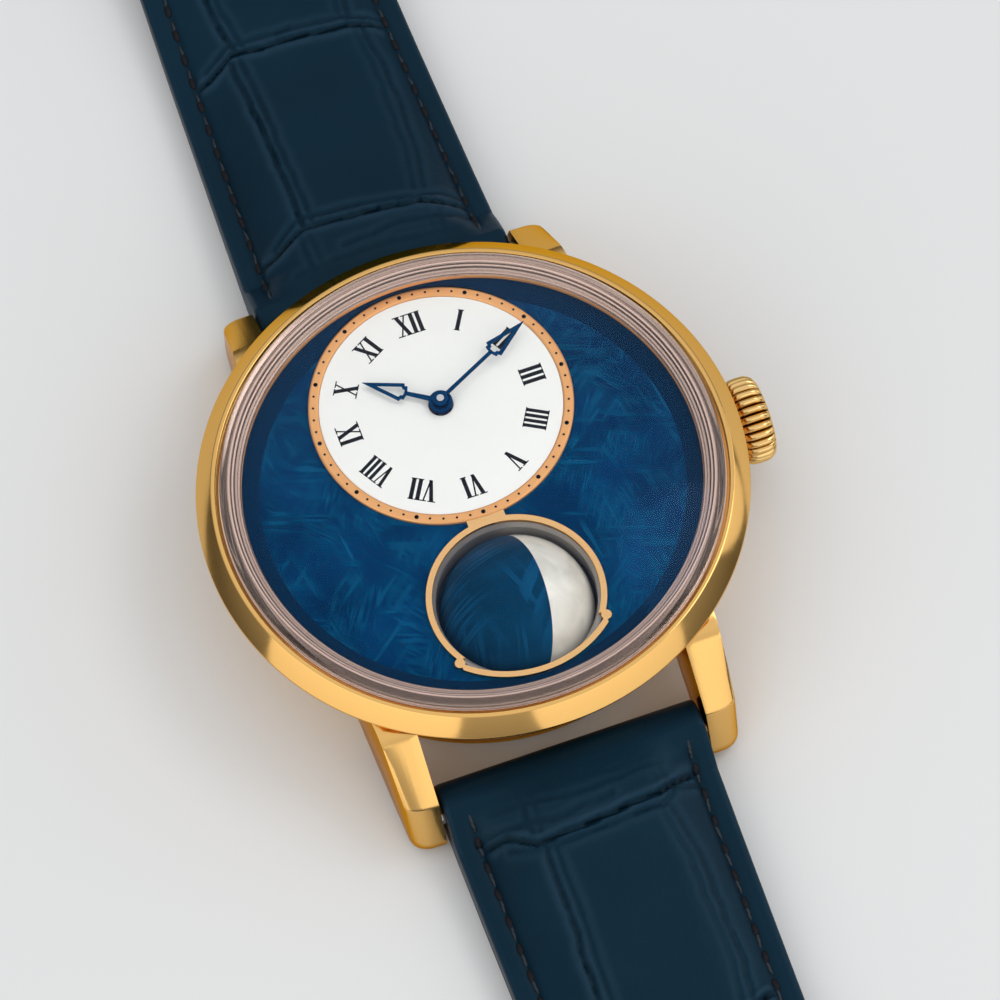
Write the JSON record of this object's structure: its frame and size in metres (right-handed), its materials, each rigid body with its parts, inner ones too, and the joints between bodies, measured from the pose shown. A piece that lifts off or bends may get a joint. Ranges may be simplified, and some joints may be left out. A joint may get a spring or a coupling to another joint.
{
  "type": "moon phase wristwatch",
  "caption": "Round gold wristwatch with a domed crystal, blue stone dial, white hour disc, turning ball moon, hand-wound movement and a leather strap with a pin buckle.",
  "frame": {"origin": "centre of the back crystal's outer face, flush with the back ring", "axes": "+Z out through the dial, +Y towards 12 o'clock and the buckle half of the strap, +X towards the crown at 3 o'clock"},
  "size_m": [0.0469, 0.2505, 0.0156],
  "materials": {
    "case_gold": "warm gold, polished on the bezel and lug tops, brushed on the sides",
    "ring_gold": "polished warm gold",
    "crystal": "clear polished sapphire",
    "stone": "polished deep blue stone with a crystalline grain",
    "flange_blue": "satin mid blue paint",
    "enamel": "white glossy enamel",
    "moon_dark": "polished dark blue stone",
    "moon_light": "polished cream stone",
    "hand_blue": "heat blued steel",
    "steel": "finely brushed steel",
    "plate_silver": "rhodium plated, striped and polished at the edges",
    "wheel_gold": "satin brass",
    "balance_gold": "polished brass",
    "strap_leather": "glossy dark blue leather with square scales"
  },
  "bodies": {
    "case": {"case_middle": "case_gold", "bezel": "case_gold", "front_crystal": "crystal", "back_ring": "case_gold", "back_crystal": "crystal", "crown_tube": "steel", "dial_plate": "stone", "dial_flange": "flange_blue", "subdial_disc": "enamel", "subdial_ring": "ring_gold", "moon_frame": "ring_gold", "moon_well": "plate_silver", "main_plate": "plate_silver", "crown_wheel_post": "steel", "barrel_bridge": "plate_silver", "train_bridge": "plate_silver", "pallet_bridge": "plate_silver", "balance_cock": "plate_silver", "balance_spring": "hand_blue", "spring_bar_12": "steel", "spring_bar_6": "steel"},
    "minute": {"minute_hand": "hand_blue", "cannon_pinion": "steel", "centre_wheel": "wheel_gold"},
    "hour": {"hour_hand": "hand_blue", "hour_wheel": "wheel_gold"},
    "minute_work": {"minute_wheel": "wheel_gold"},
    "barrel": {"barrel_drum": "wheel_gold"},
    "ratchet": {"ratchet_wheel": "steel", "barrel_arbor": "steel"},
    "third": {"third_wheel": "wheel_gold"},
    "fourth": {"fourth_wheel": "wheel_gold"},
    "escape": {"escape_wheel": "steel"},
    "pallets": {"pallet_fork": "steel"},
    "balance": {"balance_wheel": "balance_gold", "balance_staff": "steel"},
    "moon": {"moon_dark_half": "moon_dark", "moon_light_half": "moon_light", "moon_arbor": "steel"},
    "winding": {"winding_pinion": "steel"},
    "crown": {"crown": "case_gold", "winding_stem": "steel"},
    "crown_gear": {"crown_wheel": "steel"},
    "click": {"click": "steel"},
    "strap_12": {"strap_short": "strap_leather", "fixed_keeper": "strap_leather"},
    "keeper": {"sliding_keeper": "strap_leather"},
    "buckle": {"buckle_frame": "case_gold", "buckle_bar": "steel"},
    "tongue": {"buckle_tongue": "case_gold"},
    "strap_6": {"strap_long": "strap_leather"}
  },
  "joints": [
    {"name": "minute_turn", "type": "hinge", "parent": "case", "child": "minute", "pos_m": [0, 0.00765, 0.008], "axis": [0, 0, -1], "continuous": true},
    {"name": "hour_turn", "type": "hinge", "parent": "case", "child": "hour", "pos_m": [0, 0.00765, 0.009], "axis": [0, 0, -1], "continuous": true},
    {"name": "minute_work_turn", "type": "hinge", "parent": "case", "child": "minute_work", "pos_m": [-0.00279, 0.0057, 0.0086], "axis": [0, 0, -1], "continuous": true},
    {"name": "barrel_turn", "type": "hinge", "parent": "case", "child": "barrel", "pos_m": [0.00662, 0.0066, 0.0056], "axis": [0, 0, -1], "continuous": true},
    {"name": "third_turn", "type": "hinge", "parent": "case", "child": "third", "pos_m": [-0.00489, 0.00587, 0.005], "axis": [0, 0, -1], "continuous": true},
    {"name": "fourth_turn", "type": "hinge", "parent": "case", "child": "fourth", "pos_m": [-0.00735, 0.00235, 0.005], "axis": [0, 0, -1], "continuous": true},
    {"name": "escape_turn", "type": "hinge", "parent": "case", "child": "escape", "pos_m": [-0.0113, 0.00235, 0.005], "axis": [0, 0, -1], "continuous": true},
    {"name": "pallet_swing", "type": "hinge", "parent": "case", "child": "pallets", "pos_m": [-0.01112, -0.00075, 0.0052], "axis": [0, 0, 1], "range_deg": [-4, 4]},
    {"name": "balance_swing", "type": "hinge", "parent": "case", "child": "balance", "pos_m": [-0.0109, -0.0045, 0.0045], "axis": [0, 0, 1], "range_deg": [-270, 270], "stiffness_Nm_per_rad": 0.0000002},
    {"name": "moon_turn", "type": "hinge", "parent": "case", "child": "moon", "pos_m": [0, -0.0103, 0.0073], "axis": [0, 1, 0], "continuous": true},
    {"name": "winding_turn", "type": "hinge", "parent": "case", "child": "winding", "pos_m": [0.0127, 0, 0.006], "axis": [1, 0, 0], "continuous": true},
    {"name": "crown_pull", "type": "slide", "parent": "winding", "child": "crown", "axis": [1, 0, 0], "range_m": [0, 0.001]},
    {"name": "crown_gear_turn", "type": "hinge", "parent": "case", "child": "crown_gear", "pos_m": [0.00998, 0, 0.0028], "axis": [0, 0, -1], "continuous": true},
    {"name": "ratchet_turn", "type": "hinge", "parent": "case", "child": "ratchet", "pos_m": [0.00662, 0.0066, 0.003], "axis": [0, 0, -1], "continuous": true},
    {"name": "click_swing", "type": "hinge", "parent": "case", "child": "click", "pos_m": [0.00715, 0.01296, 0.0025], "axis": [0, 0, 1], "range_deg": [-10, 0], "stiffness_Nm_per_rad": 0.000001},
    {"name": "strap_12_hinge", "type": "hinge", "parent": "case", "child": "strap_12", "pos_m": [0, 0.0231, 0.0032], "axis": [1, 0, 0], "range_deg": [-75, 60]},
    {"name": "strap_6_hinge", "type": "hinge", "parent": "case", "child": "strap_6", "pos_m": [0, -0.0231, 0.0032], "axis": [-1, 0, 0], "range_deg": [-75, 60]},
    {"name": "keeper_slide", "type": "slide", "parent": "strap_12", "child": "keeper", "axis": [0, -1, 0], "range_m": [0, 0.009]},
    {"name": "buckle_hinge", "type": "hinge", "parent": "strap_12", "child": "buckle", "pos_m": [0, 0.0981, 0.0025], "axis": [1, 0, 0], "range_deg": [-60, 45]},
    {"name": "tongue_hinge", "type": "hinge", "parent": "buckle", "child": "tongue", "pos_m": [0, 0.0981, 0.0025], "axis": [1, 0, 0], "range_deg": [0, 60]}
  ],
  "couplings": [
    {"joint": "hour_turn", "follows": "minute_turn", "ratio": 0.083333},
    {"joint": "minute_work_turn", "follows": "minute_turn", "ratio": -0.33333},
    {"joint": "barrel_turn", "follows": "minute_turn", "ratio": -0.22222},
    {"joint": "third_turn", "follows": "minute_turn", "ratio": -6},
    {"joint": "fourth_turn", "follows": "minute_turn", "ratio": 30},
    {"joint": "escape_turn", "follows": "minute_turn", "ratio": -150},
    {"joint": "crown_gear_turn", "follows": "winding_turn", "ratio": -0.85714},
    {"joint": "ratchet_turn", "follows": "winding_turn", "ratio": 0.5}
  ]
}
